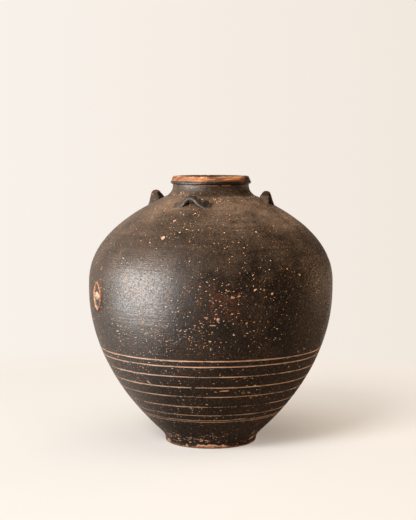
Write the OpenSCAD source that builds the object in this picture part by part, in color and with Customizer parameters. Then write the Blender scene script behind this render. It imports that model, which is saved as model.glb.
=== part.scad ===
// Tall-shouldered storage jar of dark glazed stoneware, taken apart the way a potter puts it together:
// a floor slab, wall courses that lap into each other, a neck collar, a folded rim band,
// four coil lugs and one applied seal. Millimetres, +Z up, origin at the middle of the foot.

/* [Body] */
// Radius at the widest point
girth_r = 220; // [205:1:235]
// Height of the widest point
girth_h = 284; // [270:1:300]
// Length of the upright pull below the widest point
belly_pull = 24; // [14:1:40]
// Lean of the lower wall from the vertical where it leaves the foot
taper_angle = 46.7; // [42:0.1:50]
// Length of the lower wall's pull away from the foot
taper_pull = 174; // [150:1:190]
// Length of the upright pull above the widest point
shoulder_pull = 27; // [15:1:40]
// Fall of the shoulder from the horizontal where it meets the neck
shoulder_fall = 25; // [20:0.5:30]
// Length of the shoulder's pull away from the neck
crown_pull = 149; // [130:1:160]
// Thickness of the thrown wall
wall_t = 10; // [8:0.5:13]
// How far the inner half of a course laps over the next one
lap = 9; // [6:0.5:12]

/* [Foot] */
// Radius of the ground face
ground_r = 77; // [70:0.5:80]
// Radius of the foot just above its rounded edge
foot_r = 82.5; // [81:0.5:86]
// Height of the rounded bottom edge
foot_edge_h = 6.5; // [4:0.5:8]
// Radius where the foot runs into the lower wall
waist_r = 96.3; // [92:0.1:102]
// Height where the foot runs into the lower wall
waist_h = 26; // [23:0.5:32]
// Thickness of the floor slab at its middle
slab_t = 14; // [12:0.5:18]
// Height of the slab's ledge that carries the first course
ledge_h = 10; // [8.5:0.5:11]
// Radius of the raised middle of the slab
slab_r = 70; // [64:0.5:72]

/* [Neck and rim] */
// Height of the whole jar
jar_h = 481.5; // [474:0.5:490]
// Radius where the collar leaves the shoulder
root_r = 88; // [84:0.5:90]
// Height of the neck, from the shoulder to the rim's underside
neck_h = 25.5; // [22:0.5:29]
// Outside radius of the neck under the rim
neck_r = 68; // [66:0.5:70]
// Radius of the mouth
mouth_r = 57; // [52:0.5:58]
// Height of the rim band
rim_h = 14; // [12:0.5:16]
// Widest radius of the rim band, at its bead
rim_r = 72; // [71:0.5:75]
// Outside radius of the rim at its top
rim_top_r = 68.5; // [67:0.5:70]
// Radius of the bead along the bottom of the rim band
bead_r = 2.8; // [2:0.1:3.2]
// Thickness of the band that folds over the collar
fold_t = 5; // [4:0.5:6]
// Height above the neck's root at which the mouth's bore bends out into the jar
bend_rise = 4; // [2:0.5:8]

/* [Incised lines] */
// Height of the highest incised line
line_top_h = 175.8; // [174:0.2:180]
// Width of an incised line
line_w = 3; // [2:0.2:4]
// Depth of an incised line
line_depth = 1.2; // [0.8:0.1:1.6]

/* [Lugs] */
// Radius at which the lugs stand on the shoulder
lug_r = 102; // [100:0.5:106]
// Height of a lug's crown above the shoulder
lug_rise = 21; // [17:0.5:23]
// Height of the slumped front lug's crown
front_lug_rise = 16; // [14:0.5:19]
// Outward lean of a lug
lug_lean = 11; // [0:1:15]
// Half of the arch's width at mid height
lug_half_w = 12; // [11:0.5:14]
// Distance from a lug's middle to the end of its pressed foot
lug_reach = 27; // [24:0.5:30]
// Thickness of the lug's coil
lug_t = 7; // [5.5:0.5:8]
// Depth of the lug at its crown, from neck side to outside
lug_crown_d = 12; // [10:0.5:15]
// Depth of the lug at its feet
lug_foot_d = 24; // [20:0.5:27]

/* [Seal] */
// How far the seal's middle lies below the widest point
seal_drop = 9; // [0:1:18]
// Direction of the seal, counted from +X
seal_angle = -135.5; // [-150:0.5:-120]
// Width of the seal
seal_w = 31; // [26:0.5:36]
// Length of the pointed oval
seal_len = 54; // [46:0.5:60]
// Thickness of the seal's pad
pad_t = 1.6; // [1.2:0.1:2.2]
// Extra height of the ring round the seal
ring_t = 1.4; // [1:0.1:2]
// Width of the ring round the seal
ring_w = 3.6; // [2.5:0.1:5]
// Diameter of the pellet in the seal's middle
pellet_d = 15; // [11:0.5:17]
// Height of the pellet above the pad
pellet_rise = 2.6; // [2:0.1:3.5]

/* [Hidden] */
$fn = 180;

glaze = [0.20, 0.16, 0.13];
bare_clay = [0.66, 0.37, 0.22];
pale_clay = [0.80, 0.66, 0.50];

seal_h = girth_h - seal_drop;
// Heights of the seams between the wall courses, up to the one just above the widest point
foot_seam_h = 42;
taper_seam_h = 117;
lower_seam_h = 190;
belly_seam_h = girth_h + 1;
// Height of the shoulder course, from its seam up to the neck's root
shoulder_course_h = 72;
// Gaps between the incised lines, from the highest line down
line_gaps = [10.5, 18.5, 20, 18, 20, 17.5, 10.5, 3.5];
// Straight segments along each wall course, and along a short curve
course_steps = 16;
curve_steps = 8;
// Flat top of the rim, and the rounding of its two corners
lip_round = 2;
// How far a lug's foot end dips into the shoulder before it is trimmed off flush
lug_dip = 4;
// Width of a lug's arch, against its half width, where its crown's and its legs' pulls end
crown_share = 0.95;
leg_share = 0.75;
// How much thinner than its crown a lug's coil is at its feet
foot_thinning = 0.5;
// How much faster than a straight line the shoulder falls between the neck and the lugs
lug_fall_gain = 1.1;
// How many times shorter than the neck's own length its two pulls are
root_ease = 2.2;
// Length of the inner bend's pull under the neck, in wall thicknesses
bend_pull = 1.6;
// Sections along half a lug, and sides of each section
lug_steps = 12;
lug_sides = 12;

// A point on a cubic curve, and the curve's direction there
function cubic(c, t) =
    pow(1 - t, 3) * c[0] + 3 * pow(1 - t, 2) * t * c[1] + 3 * (1 - t) * t * t * c[2] + t * t * t * c[3];
function cubic_way(c, t) =
    3 * pow(1 - t, 2) * (c[1] - c[0]) + 6 * (1 - t) * t * (c[2] - c[1]) + 3 * t * t * (c[3] - c[2]);
function unit(v) = v / norm(v);

// The outline has four curves, each [radius, height]: foot, lower wall, shoulder and neck
taper_way = [sin(taper_angle), cos(taper_angle)];
fall_way = [cos(shoulder_fall), -sin(shoulder_fall)];
waist = [waist_r, waist_h];
rim_base_h = jar_h - rim_h;
root_h = rim_base_h - neck_h;
root = [root_r, root_h];
upper_seam_h = root_h - shoulder_course_h;
waist_pull = norm(waist - [foot_r, foot_edge_h]) / 3;
root_pull = norm(root - [neck_r, rim_base_h]) / root_ease;
OUTLINE = [
    [[foot_r, foot_edge_h], [foot_r + 1, foot_edge_h + waist_pull], waist - waist_pull * taper_way, waist],
    [waist, waist + taper_pull * taper_way, [girth_r, girth_h - belly_pull], [girth_r, girth_h]],
    [[girth_r, girth_h], [girth_r, girth_h + shoulder_pull], root + crown_pull * fall_way, root],
    [root, root - root_pull * fall_way, [neck_r, rim_base_h - root_pull], [neck_r, rim_base_h]]
];
// s runs from 0 at the foot's edge to neck_top_s under the rim, one whole number per curve
neck_top_s = len(OUTLINE);
root_s = neck_top_s - 1;
function part_of(s) = min(floor(s), len(OUTLINE) - 1);
function skin(s) = cubic(OUTLINE[part_of(s)], s - part_of(s));
function outward(s) =
    let (way = unit(cubic_way(OUTLINE[part_of(s)], s - part_of(s)))) [way[1], -way[0]];
// A point in the wall: depth 0 is the outside face and 1 is the inside face
function in_wall(s, depth) = skin(s) - depth * wall_t * outward(s);
// The place s on the outline that lies at height h, by halving the interval
function s_at(h, low = 0, high = neck_top_s, turns = 30) =
    turns == 0 ? (low + high) / 2
    : let (middle = (low + high) / 2)
      skin(middle)[1] < h ? s_at(h, middle, high, turns - 1) : s_at(h, low, middle, turns - 1);
function steps(from, to, count) = [for (i = [0 : count]) from + (to - from) * i / count];
function sum_to(list, count) = count == 0 ? 0 : list[count - 1] + sum_to(list, count - 1);

ledge_s = s_at(ledge_h);
foot_seam_s = s_at(foot_seam_h);
taper_seam_s = s_at(taper_seam_h);
lower_seam_s = s_at(lower_seam_h);
belly_seam_s = s_at(belly_seam_h);
upper_seam_s = s_at(upper_seam_h);
lug_s = s_at(root_h - (lug_r - root_r) * tan(shoulder_fall) * lug_fall_gain);
function lapped(s) = s_at(skin(s)[1] + lap);
line_heights = [for (i = [0 : len(line_gaps)]) line_top_h - sum_to(line_gaps, i)];
// The collar laps down inside the shoulder, which is closed over it last
collar_lap_s = root_s - lap / norm(cubic_way(OUTLINE[2], 1));

// Section of a wall course: outside face, lap at the top, inside face, lap at the bottom
module course_section(from, to, from_lap, to_lap) {
    polygon(concat(
        [for (s = steps(from, to, course_steps)) in_wall(s, 0)],
        [in_wall(to, 0.5), in_wall(to_lap, 0.5)],
        [for (s = steps(to_lap, from_lap, course_steps)) in_wall(s, 1)],
        [in_wall(from_lap, 0.5), in_wall(from, 0.5)]
    ));
}

// The outside skin, moved outwards by grow and filled to the axis, for trimming what sits on it
module filled_skin(from, to, grow) {
    rotate_extrude()
        polygon(concat(
            [[0, skin(from)[1]]],
            [for (s = steps(from, to, 2 * course_steps)) skin(s) + grow * outward(s)],
            [[0, skin(to)[1]]]
        ));
}

// Rings of a round tool run round the wall at the height of each incised line
module incised_lines(low_h, high_h) {
    tool_r = (line_w * line_w / 4 + line_depth * line_depth) / (2 * line_depth);
    for (h = line_heights)
        if (h > low_h && h < high_h)
            let (s = s_at(h), middle = skin(s) + (tool_r - line_depth) * outward(s))
                rotate_extrude() translate(middle) circle(r = tool_r, $fn = 24);
}

module wall_course(from, to, from_lap, to_lap) {
    color(glaze)
        difference() {
            rotate_extrude() course_section(from, to, from_lap, to_lap);
            incised_lines(skin(from)[1], skin(to)[1]);
        }
}

// Flat clay disc under the whole jar; its raised middle centres the first course
module floor_slab() {
    edge = [[ground_r, 0], [foot_r - 1, 0], [foot_r, foot_edge_h / 2], [foot_r, foot_edge_h]];
    color(bare_clay)
        rotate_extrude()
            polygon(concat(
                [[0, 0]],
                [for (t = steps(0, 1, curve_steps)) cubic(edge, t)],
                [for (s = steps(ledge_s / 4, ledge_s, 4)) skin(s)],
                [[slab_r, ledge_h], [slab_r, slab_t], [0, slab_t]]
            ));
}

// First course: stands on the slab's ledge and curves up from the floor inside
module foot_course() {
    top_lap_s = lapped(foot_seam_s);
    bend_s = s_at(waist_h + slab_t / 2);
    inside = in_wall(bend_s, 1);
    bend = [[slab_r, slab_t], [(slab_r + inside[0]) / 2, slab_t], inside - taper_way * wall_t / 2, inside];
    color(glaze)
        rotate_extrude()
            polygon(concat(
                [for (s = steps(ledge_s, foot_seam_s, course_steps)) in_wall(s, 0)],
                [in_wall(foot_seam_s, 0.5), in_wall(top_lap_s, 0.5)],
                [for (s = steps(top_lap_s, bend_s, curve_steps)) in_wall(s, 1)],
                [for (t = steps(1 - 1 / curve_steps, 0, curve_steps - 1)) cubic(bend, t)],
                [[slab_r, ledge_h]]
            ));
}

module taper_course() {
    wall_course(foot_seam_s, taper_seam_s, lapped(foot_seam_s), lapped(taper_seam_s));
}

module lower_course() {
    wall_course(taper_seam_s, lower_seam_s, lapped(taper_seam_s), lapped(lower_seam_s));
}

module belly_course() {
    wall_course(lower_seam_s, belly_seam_s, lapped(lower_seam_s), lapped(belly_seam_s));
}

module upper_course() {
    wall_course(belly_seam_s, upper_seam_s, lapped(belly_seam_s), lapped(upper_seam_s));
}

module shoulder_course() {
    wall_course(upper_seam_s, root_s, lapped(upper_seam_s), collar_lap_s);
}

// Neck: its foot laps under the shoulder, and its lip carries the folded rim band
module neck_collar() {
    lip_r = neck_r - fold_t;
    lip_h = jar_h - fold_t;
    foot_in = in_wall(collar_lap_s, 1);
    bore_base_h = root_h + bend_rise;
    bend = [foot_in, foot_in - fall_way * wall_t * bend_pull,
            [mouth_r, bore_base_h - wall_t], [mouth_r, bore_base_h]];
    color(glaze)
        rotate_extrude()
            polygon(concat(
                [for (s = steps(root_s, neck_top_s, 2 * curve_steps)) in_wall(s, 0)],
                [[lip_r, rim_base_h], [lip_r, lip_h], [mouth_r, lip_h]],
                [for (t = steps(1, 0, curve_steps)) cubic(bend, t)],
                [in_wall(collar_lap_s, 0.5), in_wall(root_s, 0.5)]
            ));
}

// Rim: a band of clay folded over the collar's lip, with a bead along its bottom edge
module rim_band() {
    lip_r = neck_r - fold_t;
    lip_h = jar_h - fold_t;
    bead = [rim_r - bead_r, rim_base_h + bead_r];
    color(bare_clay)
        rotate_extrude()
            polygon(concat(
                [[lip_r, rim_base_h]],
                [for (a = steps(-90, 20, curve_steps)) bead + bead_r * [cos(a), sin(a)]],
                [for (a = steps(10, 90, curve_steps))
                    [rim_top_r - lip_round, jar_h - lip_round] + lip_round * [cos(a), sin(a)]],
                [for (a = steps(90, 180, curve_steps))
                    [mouth_r + lip_round, jar_h - lip_round] + lip_round * [cos(a), sin(a)]],
                [[mouth_r, lip_h], [lip_r, lip_h]]
            ));
}

// A coil bent into an arch: sections are ovals square to a curve that flares out at both feet.
// v runs from -1 to 1 along the coil, and p is its middle as [along the shoulder, up].
// Each section is turned from the lug's lean at the crown to the shoulder's fall at its feet.
module lug(angle, rise) {
    base = skin(lug_s);
    fall = atan2(outward(lug_s)[0], outward(lug_s)[1]);
    crown = rise - lug_t / 2;
    half = [[0, crown], [lug_half_w * crown_share, crown],
            [lug_half_w * leg_share, -lug_dip / 2], [lug_reach, -lug_dip]];
    function middle(v) = let (p = cubic(half, abs(v))) [v < 0 ? -p[0] : p[0], p[1]];
    function across(v) = let (w = unit(cubic_way(half, abs(v)))) [v < 0 ? w[1] : -w[1], w[0]];
    function thick(v) = lug_t * (1 - foot_thinning * pow(abs(v), 3)) / 2;
    function deep(v) = (lug_crown_d + (lug_foot_d - lug_crown_d) * pow(sin(90 * abs(v)), 2)) / 2;
    function turn(v) = lug_lean + (fall - lug_lean) * pow(sin(90 * abs(v)), 2);
    function section_point(v, a) =
        let (p = middle(v) + thick(v) * cos(a) * across(v), d = deep(v) * sin(a))
            [p[1] * tan(lug_lean) + d * cos(turn(v)), p[0], p[1] - d * sin(turn(v))];
    points = [for (v = steps(-1, 1, 2 * lug_steps), i = [0 : lug_sides - 1])
        section_point(v, 360 * i / lug_sides)];
    last = 2 * lug_steps * lug_sides;
    sides = [for (k = [0 : 2 * lug_steps - 1], i = [0 : lug_sides - 1])
        let (a = k * lug_sides + i, b = k * lug_sides + (i + 1) % lug_sides) each [
            [a, b, b + lug_sides],
            [a, b + lug_sides, a + lug_sides]]];
    ends = [for (i = [1 : lug_sides - 2]) each [[0, i + 1, i], [last, last + i, last + i + 1]]];
    color(glaze)
        difference() {
            rotate([0, 0, angle])
                translate([base[0], 0, base[1]])
                    polyhedron(points = points, faces = concat(sides, ends));
            filled_skin(upper_seam_s, neck_top_s, 0);
        }
}

// Pointed oval lying in the XY plane, its length along Y
module pointed_oval(width, length) {
    arc_r = (length * length + width * width) / (4 * width);
    intersection() {
        translate([arc_r - width / 2, 0]) circle(r = arc_r);
        translate([width / 2 - arc_r, 0]) circle(r = arc_r);
    }
}

// Stands a flat outline up at the seal's place and runs it through the wall
module at_seal() {
    rotate([0, 0, seal_angle])
        translate([0, 0, seal_h])
            rotate([90, 0, 90])
                linear_extrude(girth_r + wall_t) children();
}

// The part of a flat outline that lies between the skin and a skin moved outwards
module on_skin(rise) {
    low_s = s_at(seal_h - seal_len);
    high_s = s_at(seal_h + seal_len);
    difference() {
        intersection() {
            at_seal() children();
            filled_skin(low_s, high_s, rise);
        }
        filled_skin(low_s, high_s, 0);
    }
}

// Pad of clay pressed on the belly, with a plain raised ring
module seal_pad() {
    color(bare_clay) {
        on_skin(pad_t) pointed_oval(seal_w, seal_len);
        on_skin(pad_t + ring_t)
            difference() {
                pointed_oval(seal_w, seal_len);
                pointed_oval(seal_w - 2 * ring_w, seal_len - 3 * ring_w);
            }
    }
}

// Plain pellet of pale clay on the pad
module seal_pellet() {
    ball_r = (pellet_d * pellet_d / 4 + pellet_rise * pellet_rise) / (2 * pellet_rise);
    place = skin(s_at(seal_h));
    color(pale_clay)
        difference() {
            rotate([0, 0, seal_angle])
                translate([place[0] + pad_t + pellet_rise - ball_r, 0, place[1]])
                    sphere(r = ball_r, $fn = 48);
            filled_skin(s_at(seal_h - seal_len), s_at(seal_h + seal_len), pad_t);
        }
}

floor_slab();
foot_course();
taper_course();
lower_course();
belly_course();
upper_course();
shoulder_course();
neck_collar();
rim_band();
lug(-90, front_lug_rise);  // lug_front
lug(0, lug_rise);  // lug_right
lug(90, lug_rise);  // lug_back
lug(180, lug_rise);  // lug_left
seal_pad();
seal_pellet();
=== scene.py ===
"""A tall-shouldered storage jar of dark glazed stoneware: its skin, its finishes and its picture.

Every wall course wears one shared skin, worked out from the jar's outline, so the joints between
courses don't show outside. Metres, +Z up, origin at the middle of the foot.
"""
import math

import bpy
import mathutils
import numpy as np
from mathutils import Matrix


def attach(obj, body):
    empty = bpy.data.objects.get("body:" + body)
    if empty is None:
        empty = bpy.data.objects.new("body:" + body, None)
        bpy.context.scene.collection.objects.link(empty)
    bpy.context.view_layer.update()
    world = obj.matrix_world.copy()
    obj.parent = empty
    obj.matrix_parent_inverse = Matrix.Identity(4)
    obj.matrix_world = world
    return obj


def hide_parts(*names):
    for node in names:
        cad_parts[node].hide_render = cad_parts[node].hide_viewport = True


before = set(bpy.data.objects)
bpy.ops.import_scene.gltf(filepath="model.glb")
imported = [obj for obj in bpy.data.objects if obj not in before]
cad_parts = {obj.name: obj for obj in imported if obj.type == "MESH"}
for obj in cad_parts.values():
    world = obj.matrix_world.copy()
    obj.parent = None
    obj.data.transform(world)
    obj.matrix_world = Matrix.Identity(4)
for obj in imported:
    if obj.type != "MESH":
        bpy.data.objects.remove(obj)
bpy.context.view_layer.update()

MM = 0.001

# Driving sizes of the jar, the same as on its construction drawing
GIRTH_R = 220 * MM
GIRTH_H = 284 * MM
BELLY_PULL = 24 * MM
SHOULDER_PULL = 27 * MM
TAPER_ANGLE = math.radians(46.7)
TAPER_PULL = 174 * MM
SHOULDER_FALL = math.radians(25)
CROWN_PULL = 149 * MM
WALL = 10 * MM
LAP = 9 * MM
GROUND_R = 77 * MM
FOOT_R = 82.5 * MM
FOOT_EDGE_H = 6.5 * MM
WAIST = (96.3 * MM, 26 * MM)
SLAB_T = 14 * MM
LEDGE_H = 10 * MM
SLAB_R = 70 * MM
JAR_H = 481.5 * MM
NECK_H = 25.5 * MM
RIM_H = 14 * MM
ROOT_R = 88 * MM
NECK_R = 68 * MM
MOUTH_R = 57 * MM
BEND_RISE = 4 * MM
RIM_R = 72 * MM
RIM_TOP_R = 68.5 * MM
BEAD_R = 2.8 * MM
FOLD_T = 5 * MM
LIP_ROUND = 2 * MM
LINE_W = 3 * MM
LINE_DEPTH = 1.2 * MM
LINE_TOP_H = 175.8 * MM
LINE_GAPS = np.array([10.5, 18.5, 20, 18, 20, 17.5, 10.5, 3.5]) * MM
LUG_R = 102 * MM
LUG_RISE = 21 * MM
FRONT_LUG_RISE = 16 * MM
LUG_LEAN = math.radians(11)
LUG_HALF_W = 12 * MM
LUG_REACH = 27 * MM
LUG_T = 7 * MM
LUG_CROWN_D = 12 * MM
LUG_FOOT_D = 24 * MM
LUG_DIP = 4 * MM
SEAL_H = GIRTH_H - 9 * MM
SEAL_ANGLE = math.radians(-135.5)
SEAL_W = 31 * MM
SEAL_LEN = 54 * MM
PAD_T = 1.6 * MM
RING_T = 1.4 * MM
RING_W = 3.6 * MM
PELLET_D = 15 * MM
PELLET_RISE = 2.6 * MM

RIM_BASE_H = JAR_H - RIM_H
ROOT_H = RIM_BASE_H - NECK_H
# Height of the crease round the neck's foot, painted dark as shade, a little above the joint
CREASE_H = ROOT_H + 5 * MM
# Heights of the seams between the wall courses
SEAMS = {"foot": 42 * MM, "taper": 117 * MM, "lower": 190 * MM, "belly": GIRTH_H + 1 * MM,
         "upper": ROOT_H - 72 * MM}

# Columns round the jar, and how far apart its rows lie
COLUMNS = 640
ROW_STEP = 1.9 * MM
FINE_STEP = 0.55 * MM
INNER_STEP = 6 * MM
AROUND = np.linspace(-math.pi, math.pi, COLUMNS, endpoint=False)
# Edges that bend more than this show sharp
SHARP_ANGLE = math.radians(50)
# Throwing ridges: how far apart the narrow and the wide ones are, and how much they climb in a turn
RIDGE_STEP = 7.5 * MM
WIDE_RIDGE_STEP = 23 * MM
RIDGE_CLIMB = 5 * MM

# The camera: its direction round the jar, distance, height and tilt, read off the outline's fit
CAMERA_TURN = math.radians(18)
CAMERA_DISTANCE = 2.536
CAMERA_H = 0.553
CAMERA_TILT = math.radians(5.04)
CAMERA_YAW = math.radians(0.118)
FOCAL_PX = 1407.1
FRAME_H_PX = 520
SENSOR = 36
CAMERA_AT = (CAMERA_DISTANCE * math.sin(CAMERA_TURN), -CAMERA_DISTANCE * math.cos(CAMERA_TURN), CAMERA_H)
CAMERA_RIGHT = (math.cos(CAMERA_TURN), math.sin(CAMERA_TURN), 0)
CAMERA_LEFT = (-math.cos(CAMERA_TURN), -math.sin(CAMERA_TURN), 0)

# The glaze: its colours and refraction, and the colours of what lies in it and on it
GLAZE_BLACK = (0.0088, 0.0048, 0.0024)
GLAZE_BROWN = (0.032, 0.0162, 0.0074)
GLAZE_RED = (0.085, 0.027, 0.010)
GLAZE_IOR = 1.52
SEAM_AND_SHADE_BLACK = (0.0045, 0.0028, 0.0018)
PIT_BLACK = (0.004, 0.0025, 0.002)
SPECK_BROWN = (0.20, 0.110, 0.060)
DUST = (0.159, 0.101, 0.065)
GRIT_CREAM = (0.90, 0.66, 0.43)
GRIT_ORANGE = (0.78, 0.32, 0.115)
# Colours of the bare clay
CLAY_ORANGE = (0.62, 0.235, 0.080)
CLAY_BROWN = (0.22, 0.075, 0.028)
CLAY_DARK = (0.085, 0.030, 0.013)
CLAY_PALE = (0.90, 0.61, 0.44)
CLAY_GRAIN = (0.03, 0.015, 0.010)
# Middle of the red bloom in the glaze, and of the heap of dust beside the neck
BLOOM_AT = (0.084, -0.203, 0.274)
HEAP_AT = (-0.055, -0.095, 0.428)

# The surround: the backdrop at the picture's left and right and as the glaze mirrors it, and the floor
# as it is seen, as it lights the jar and as it shows in the glaze on the dark side
BACKDROP_LEFT = (0.947, 0.887, 0.823)
BACKDROP_RIGHT = (0.880, 0.807, 0.730)
BACKDROP_MIRRORED = (0.88, 0.70, 0.56)
FLOOR_SHOWS = (0.83, 0.805, 0.78)
FLOOR_GIVES = (0.48, 0.40, 0.31)
FLOOR_MIRRORED = (0.235, 0.158, 0.104)
# Level way to the bright side of the surround, behind the jar and to its left
BRIGHT_TURN = CAMERA_TURN + math.radians(90 + 50)
BRIGHT_SIDE = (math.cos(BRIGHT_TURN), math.sin(BRIGHT_TURN), 0)
# Middle of the jar's shadow on the floor: 0.10 m to the camera's right and 0.14 m behind the jar
SHADOW_AT = (0.10 * math.cos(CAMERA_TURN) - 0.14 * math.sin(CAMERA_TURN),
             0.10 * math.sin(CAMERA_TURN) + 0.14 * math.cos(CAMERA_TURN), 0)
ROOM_LIGHT = (1.0, 0.86, 0.70)
# Strength of the room's light as it shows in the glaze, and as it lights
ROOM_STRENGTHS = (0.05, 0.15)
LAMP_AIM_H = 0.28


def cubic(points, t):
    """Cubic curve: each of the four points weighted by its Bernstein share at t."""
    p = np.asarray(points, dtype=float)
    t = np.asarray(t, dtype=float)[..., None]
    u = 1 - t
    return u ** 3 * p[0] + 3 * u * u * t * p[1] + 3 * u * t * t * p[2] + t ** 3 * p[3]


def smooth(x, low, high):
    """Smooth step: 0 below low, 1 above high, an S of 3t^2 - 2t^3 between."""
    t = np.clip((x - low) / (high - low), 0, 1)
    return t * t * (3 - 2 * t)


def bump(x, width):
    """Round bump: exp(-(x / width)^2)."""
    return np.exp(-(x / width) ** 2)


def noise(place, size, seed):
    """Value noise from -1 to 1: random heights on a lattice of the given size, joined by smooth steps."""
    p = place / size + seed * 17.31
    cell = np.floor(p).astype(np.int64)
    f = p - cell
    f = f * f * (3 - 2 * f)
    total = np.zeros(p.shape[:-1])
    for corner in np.ndindex(2, 2, 2):
        at = cell + np.array(corner)
        key = (at[..., 0] * 73856093) ^ (at[..., 1] * 19349663) ^ (at[..., 2] * 83492791) ^ (seed * 2654435)
        key = (key ^ (key >> 13)) * 1274126177 & 0x7FFFFFFF
        key = (key ^ (key >> 16)) & 0xFFFF
        share = np.prod(np.where(np.array(corner) == 1, f, 1 - f), axis=-1)
        total += share * (key / 32767.5 - 1)
    return total


def blotches(place, size, seed, low, high):
    """Noise of a size as a share: 0 where it is under low, 1 where it is over high."""
    return smooth(noise(place, size, seed), low, high)


def lumpy(place, seed, *layers):
    """Sum of noises, each with its height and size in millimetres, their seeds counting up."""
    total = 0
    for number, (height, size) in enumerate(layers):
        total = total + height * MM * noise(place, size * MM, seed + number)
    return total


def stacked(*parts):
    """Points from their coordinates, each spread to the shape that all have together."""
    return np.stack(np.broadcast_arrays(*parts), axis=-1)


def turn_from(angle, degrees):
    """Angle round the axis as seen from a direction in degrees, from -pi to pi."""
    return (angle - math.radians(degrees) + math.pi) % (2 * math.pi) - math.pi


def pushed_out(points, out, radius):
    """Points at a radius, moved out from the axis by a distance: x and y grow by out / radius."""
    return points * (1 + (out / radius)[..., None] * np.array([1, 1, 0]))


class Outline:
    """The outside outline from the foot's edge to the rim, by its running length.

    Four cubic curves (foot, lower wall, shoulder, neck) are laid end to end and measured along.
    """

    def __init__(self):
        waist = np.array(WAIST)
        foot = np.array([FOOT_R, FOOT_EDGE_H])
        taper = np.array([math.sin(TAPER_ANGLE), math.cos(TAPER_ANGLE)])
        fall = np.array([math.cos(SHOULDER_FALL), -math.sin(SHOULDER_FALL)])
        root = np.array([ROOT_R, ROOT_H])
        rim = np.array([NECK_R, RIM_BASE_H])
        waist_pull = np.linalg.norm(waist - foot) / 3
        root_pull = np.linalg.norm(root - rim) / 2.2
        girth = np.array([GIRTH_R, GIRTH_H])
        up = np.array([0, 1])
        curves = [
            [foot, foot + [1 * MM, waist_pull], waist - waist_pull * taper, waist],
            [waist, waist + TAPER_PULL * taper, girth - BELLY_PULL * up, girth],
            [girth, girth + SHOULDER_PULL * up, root + CROWN_PULL * fall, root],
            [root, root - root_pull * fall, rim - root_pull * up, rim],
        ]
        t = np.linspace(0, 1, 801)
        points = np.concatenate([cubic(curve, t)[:-1] for curve in curves] + [rim[None]])
        self.length = np.concatenate([[0], np.cumsum(np.linalg.norm(np.diff(points, axis=0), axis=1))])
        self.r, self.z = points.T
        way = np.stack([np.gradient(self.r, self.length), np.gradient(self.z, self.length)])
        way /= np.linalg.norm(way, axis=0)
        self.nr, self.nz = way[1], -way[0]
        self.top = self.length[-1]
        self.root = self.length_at(ROOT_H)

    def length_at(self, height):
        """Running length at a height."""
        return np.interp(height, self.z, self.length)

    def at(self, length):
        """Radius, height and outward normal (radial, up) at running lengths."""
        return [np.interp(length, self.length, values) for values in (self.r, self.z, self.nr, self.nz)]

    def in_wall(self, length, depth):
        """Point [radius, height] in the wall: depth 0 is its outside face, 1 its inside face."""
        r, z, nr, nz = self.at(length)
        return np.stack([r - depth * WALL * nr, z - depth * WALL * nz], axis=-1)


outline = Outline()
line_heights = LINE_TOP_H - np.concatenate([[0], np.cumsum(LINE_GAPS)])
line_lengths = outline.length_at(line_heights)
# Share of each incised line's full depth and width, from the highest down
LINE_SHARES = [1.0, 0.90, 0.80, 0.88, 0.74, 0.76, 0.84, 0.80, 0.72]

# Single marks of the photographed jar: angle from +X, height, half width, half height, lean,
# relief outwards (minus is a pit), bare clay share and pale share
MARKS = [
    (-98.5, 381, 3.6, 3.2, 0, 0.9, 0.8, 0.9),
    (-97.0, 408, 3.5, 1.6, 25, 0.5, 0.6, 0.8),
    (-62.8, 286, 2.6, 3.4, 20, -0.5, 0.9, 0.3),
    (-59.5, 289, 2.0, 3.0, 20, -0.4, 0.7, 0.2),
    (-44.2, 290, 3.2, 1.6, 0, -0.4, 1.0, 0.6),
    (-48.0, 297, 3.4, 1.2, 0, -0.4, 0.8, 0.4),
    (-74.0, 252, 3.6, 1.6, 0, -0.4, 1.0, 0.5),
    (-69.0, 250, 3.2, 2.2, -20, -0.5, 1.0, 0.8),
    (-71.0, 239, 7.0, 0.9, 4, -0.3, 0.8, 0.5),
    (-28.0, 318, 2.6, 2.4, 0, -0.4, 0.9, 0.4),
    (-35.0, 330, 1.8, 2.0, 0, -0.3, 0.8, 0.5),
    (-108.5, 131, 7, 1.4, -48, -0.4, 1.0, 1.0),
    (-50.0, 62, 14, 1.5, 3, -0.4, 0.8, 0.8),
    (-64.0, 121, 10, 1.3, 2, -0.3, 0.9, 0.6),
    (-11.0, 12.5, 17, 1.9, 17, -0.7, 1.0, 0.9),
    (-22.0, 8.5, 6, 1.2, 0, -0.4, 0.9, 0.3),
    (-88.0, 18.5, 11, 0.8, -7, -0.3, 0.9, 0.9),
    (-95.0, 20.5, 4, 0.9, 0, -0.3, 0.9, 0.6),
    (-77.0, 16.0, 8, 0.9, -4, -0.3, 0.9, 0.9),
    (-30.0, 9.5, 4, 2.0, 0, -0.5, 1.0, 0.3),
    (-124.0, 9, 9, 1.6, 0, -0.6, 1.0, 0.9),
    (-104.0, 8, 7, 1.4, 0, -0.5, 1.0, 0.6),
]

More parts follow.
